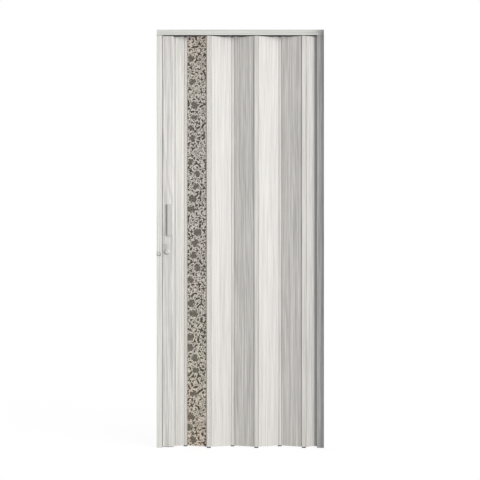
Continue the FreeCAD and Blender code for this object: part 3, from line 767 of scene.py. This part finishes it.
def add_print():
    """The same kind of print on both faces of the decor panel, cut off at its edges."""
    low, high = (corner.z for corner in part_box("decor_panel"))
    centre, angle, half_thickness, half_width = face_of_panel("decor_panel")
    dark_ink = print_ink("ink_dark", PRINT_DARK, DARK_INK_SPREAD)
    middle_ink = print_ink("ink_middle", PRINT_MIDDLE, MIDDLE_INK_SPREAD)
    half_width -= PRINT_MARGIN
    turn = Matrix.Rotation(angle, 4, "Z")
    for side, label in ((-1, "front"), (1, "back")):
        dark, middle = print_motifs(half_width, low + PRINT_END, high - PRINT_END, PRINT_SEEDS[label])
        for kind, outlines, ink, lift in (("middle", middle, middle_ink, 1.0), ("dark", dark, dark_ink, 2.0)):
            cut = [clipped(outline, -half_width, half_width, 0) for outline in outlines]
            cut = [clipped(outline, low + PRINT_MARGIN, high - PRINT_MARGIN, 1) for outline in cut]
            cut = [outline for outline in cut if outline]
            if side < 0:
                cut = [outline[::-1] for outline in cut]
            offset = side * (half_thickness + lift * PRINT_LIFT)
            placement = Matrix.Translation(centre) @ turn @ Matrix.Translation(Vector((0.0, offset, 0.0)))
            flat_piece("print_%s_%s" % (kind, label), cut, placement, ink)


def recess_reach(angle):
    """How far a cross recess reaches from its middle in one direction, for a head of radius one."""
    larger = max(abs(math.cos(angle)), abs(math.sin(angle)))
    smaller = min(abs(math.cos(angle)), abs(math.sin(angle)))
    if smaller * RECESS_REACH < larger * RECESS_HALF_WIDTH + 1e-9:
        return RECESS_REACH / larger
    return RECESS_HALF_WIDTH / smaller


def screw_head(place, outward, radius, height):
    """Vertices and faces of a pan head with a cross recess, standing on a wall at its place."""
    edge = math.atan(RECESS_HALF_WIDTH / RECESS_REACH)
    quarter = math.pi / 2.0
    steps = [0.0, edge, (edge + quarter / 2.0) / 2.0, quarter / 2.0, (1.5 * quarter - edge) / 2.0,
             quarter - edge]
    angles = [turn * quarter + step for turn in range(4) for step in steps]
    first = outward.orthogonal().normalized()
    second = outward.cross(first)
    rings = [([reach] * len(angles), rise) for reach, rise in HEAD_RINGS]
    cross = [recess_reach(angle) for angle in angles]
    rings += [(cross, 1.0), (cross, 1.0 - RECESS_DEPTH)]
    vertices = []
    for reaches, rise in rings:
        for angle, reach in zip(angles, reaches):
            aside = first * math.cos(angle) + second * math.sin(angle)
            vertices.append(place + aside * (radius * reach) + outward * (height * rise))
    count = len(angles)
    faces = [tuple(range(count))[::-1]]
    for ring in range(len(rings) - 1):
        for index in range(count):
            after = (index + 1) % count
            faces.append((ring * count + index, ring * count + after, (ring + 1) * count + after,
                          (ring + 1) * count + index))
    vertices.append(place + outward * (height * (1.0 - RECESS_DEPTH)))
    last = (len(rings) - 1) * count
    for index in range(count):
        faces.append((last + index, last + (index + 1) % count, len(vertices) - 1))
    return vertices, faces


def screw_piece(name, places, outwards, radius, height, material):
    """One piece of several like screw heads."""
    vertices = []
    faces = []
    for place, outward in zip(places, outwards):
        start = len(vertices)
        head_vertices, head_faces = screw_head(place, outward, radius, height)
        vertices += head_vertices
        faces += [tuple(start + index for index in face) for face in head_faces]
    piece = new_object(name, vertices, faces, material)
    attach(piece, "door")


def evenly_spaced(first, last, count):
    return [first + (last - first) * index / (count - 1) for index in range(count)]


def add_screws():
    """Heads of the screws that hold the jambs, the track and the keeper."""
    steel = drawn_steel("screw_steel", STEEL)
    track_low, track_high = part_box("top_track")
    heights = evenly_spaced(WALL_SCREW_END_DISTANCE, track_low.z - WALL_SCREW_END_DISTANCE, WALL_SCREW_COUNT)
    walls = (("strike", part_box("strike_jamb")[0].x, 1.0), ("fixed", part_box("fixed_jamb")[1].x, -1.0))
    for label, wall, inward in walls:
        places = [Vector((wall + inward * JAMB_WALL, 0.0, height)) for height in heights]
        outwards = [Vector((inward, 0.0, 0.0))] * len(places)
        screw_piece("screws_" + label, places, outwards, WALL_SCREW_RADIUS, WALL_SCREW_HEIGHT, steel)
    rows = evenly_spaced(track_low.x + TRACK_SCREW_END_DISTANCE, track_high.x - TRACK_SCREW_END_DISTANCE,
                         WALL_SCREW_COUNT)
    places = [Vector((x, 0.0, track_high.z - TRACK_WALL)) for x in rows]
    screw_piece("screws_track", places, [Vector((0.0, 0.0, -1.0))] * len(places), WALL_SCREW_RADIUS,
                WALL_SCREW_HEIGHT, steel)
    keeper_low, keeper_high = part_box("latch_keeper")
    place = Vector(((keeper_low.x + keeper_high.x) / 2.0, keeper_high.y - KEEPER_PLATE,
                    keeper_high.z - (keeper_high.z - keeper_low.z) / 3.0))
    screw_piece("screw_keeper", [place], [Vector((0.0, -1.0, 0.0))], KEEPER_SCREW_RADIUS,
                KEEPER_SCREW_HEIGHT, steel)


def block(low, high):
    """Vertices and faces of a plain box between two corners."""
    vertices = [(x, y, z) for x in (low[0], high[0]) for y in (low[1], high[1]) for z in (low[2], high[2])]
    faces = [(0, 1, 3, 2), (4, 6, 7, 5), (0, 4, 5, 1), (2, 3, 7, 6), (0, 2, 6, 4), (1, 5, 7, 3)]
    return vertices, faces


def add_painted_shade_sheets():
    """A thin grey sheet of painted shade beside each handle's finger lip."""
    material = moulded("painted_shade_grey", PAINTED_SHADE_GREY, 0.40)
    post_low, post_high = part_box("lead_post")
    for label, face, outward in (("front", post_low.y, -1.0), ("back", post_high.y, 1.0)):
        low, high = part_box("handle_" + label)
        depths = sorted((face, face + outward * SHADE_SHEET_THICKNESS))
        vertices, faces = block((low.x - SHADE_SHEET_REACH, depths[0], low.z),
                                (low.x + SHADE_SHEET_UNDERLAP, depths[1], high.z))
        plate = new_object("handle_painted_shade_" + label, vertices, faces, material)
        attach(plate, "door")


def add_floor():
    """Pale floor that shows white to the camera and keeps a soft shadow."""
    half = FLOOR_HALF
    corners = [(-half, -half, 0.0), (half, -half, 0.0), (half, half, 0.0), (-half, half, 0.0)]
    tree = Tree("floor_pale")
    tree.finish(linear(FLOOR_PALE), 0.8, None, 0.2)
    glow = tree.add("ShaderNodeEmission", values={"Color": WHITE, "Strength": FLOOR_GLOW})
    path = tree.add("ShaderNodeLightPath")
    seen = tree.math("MAXIMUM", path.outputs["Is Camera Ray"], path.outputs["Is Glossy Ray"])
    share = tree.math("MULTIPLY", seen, FLOOR_GLOW_SHARE)
    blend = tree.add("ShaderNodeMixShader", {"Fac": share})
    tree.link(tree.shader.outputs[0], blend.inputs[1])
    tree.link(glow.outputs[0], blend.inputs[2])
    output = tree.tree.nodes["Material Output"]
    tree.link(blend.outputs[0], output.inputs["Surface"])
    floor = new_object("floor", corners, [(0, 1, 2, 3)], tree.material)


def add_flags():
    """Thin black plates, unseen, beside the fixed jamb, beside the track and over the door."""
    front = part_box("fixed_jamb")[0].y
    track_low, track_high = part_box("top_track")
    over = track_high.z + HOOD_RISE
    far = FLAG_GAP + FLAG_THICKNESS
    plates = {
        "flag": ((FLAG_GAP, front - FLAG_REACH, 0.0), (far, front, track_low.z)),
        "flag_top": ((FLAG_GAP, front - FLAG_TOP_REACH, track_low.z), (far, front, track_high.z + FLAG_RISE)),
        "flag_over": ((track_low.x - HOOD_SIDE, front - HOOD_REACH, over),
                      (HOOD_SIDE, front, over + FLAG_THICKNESS)),
    }
    tree = Tree("flag_black")
    black = tree.finish(BLACK, 0.9, None, 0.0)
    for name, (low, high) in plates.items():
        flag = new_object(name, *block(low, high), black)
        flag.visible_camera = False


def add_world():
    """Even pale room that the camera sees as white."""
    world = bpy.data.worlds.new("room")
    bpy.context.scene.world = world
    world.use_nodes = True
    tree = world.node_tree
    tree.nodes.clear()
    path = tree.nodes.new("ShaderNodeLightPath")
    room = tree.nodes.new("ShaderNodeBackground")
    room.inputs["Color"].default_value = WHITE
    room.inputs["Strength"].default_value = ROOM_STRENGTH
    white = tree.nodes.new("ShaderNodeBackground")
    white.inputs["Color"].default_value = WHITE
    white.inputs["Strength"].default_value = 1.0
    seen = tree.nodes.new("ShaderNodeMath")
    seen.operation = "MAXIMUM"
    tree.links.new(path.outputs["Is Camera Ray"], seen.inputs[0])
    tree.links.new(path.outputs["Is Transmission Ray"], seen.inputs[1])
    mix = tree.nodes.new("ShaderNodeMixShader")
    tree.links.new(seen.outputs[0], mix.inputs[0])
    tree.links.new(room.outputs[0], mix.inputs[1])
    tree.links.new(white.outputs[0], mix.inputs[2])
    output = tree.nodes.new("ShaderNodeOutputWorld")
    tree.links.new(mix.outputs[0], output.inputs["Surface"])


def add_key():
    """Soft key light from the right, a little above."""
    light = bpy.data.lights.new("key", "SUN")
    light.energy = KEY_STRENGTH
    light.angle = math.radians(KEY_SOFTNESS)
    lamp = bpy.data.objects.new("key", light)
    azimuth = math.radians(KEY_AZIMUTH)
    elevation = math.radians(KEY_ELEVATION)
    towards = Vector((math.sin(azimuth) * math.cos(elevation), -math.cos(azimuth) * math.cos(elevation),
                      math.sin(elevation)))
    lamp.rotation_mode = "QUATERNION"
    lamp.rotation_quaternion = towards.to_track_quat("Z", "Y")
    bpy.context.scene.collection.objects.link(lamp)


def add_camera():
    data = bpy.data.cameras.new("camera")
    data.lens = CAMERA_LENS
    camera = bpy.data.objects.new("camera", data)
    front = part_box("strike_jamb")[0].y
    camera.location = (CAMERA_SIDE, front - CAMERA_DISTANCE, CAMERA_HEIGHT)
    camera.rotation_euler = (math.radians(90.0), 0.0, 0.0)
    bpy.context.scene.collection.objects.link(camera)
    bpy.context.scene.camera = camera


dress_nodes()
add_print()
add_screws()
add_painted_shade_sheets()
add_floor()
add_flags()
add_world()
add_key()
add_camera()
bpy.context.scene.view_settings.view_transform = "Standard"
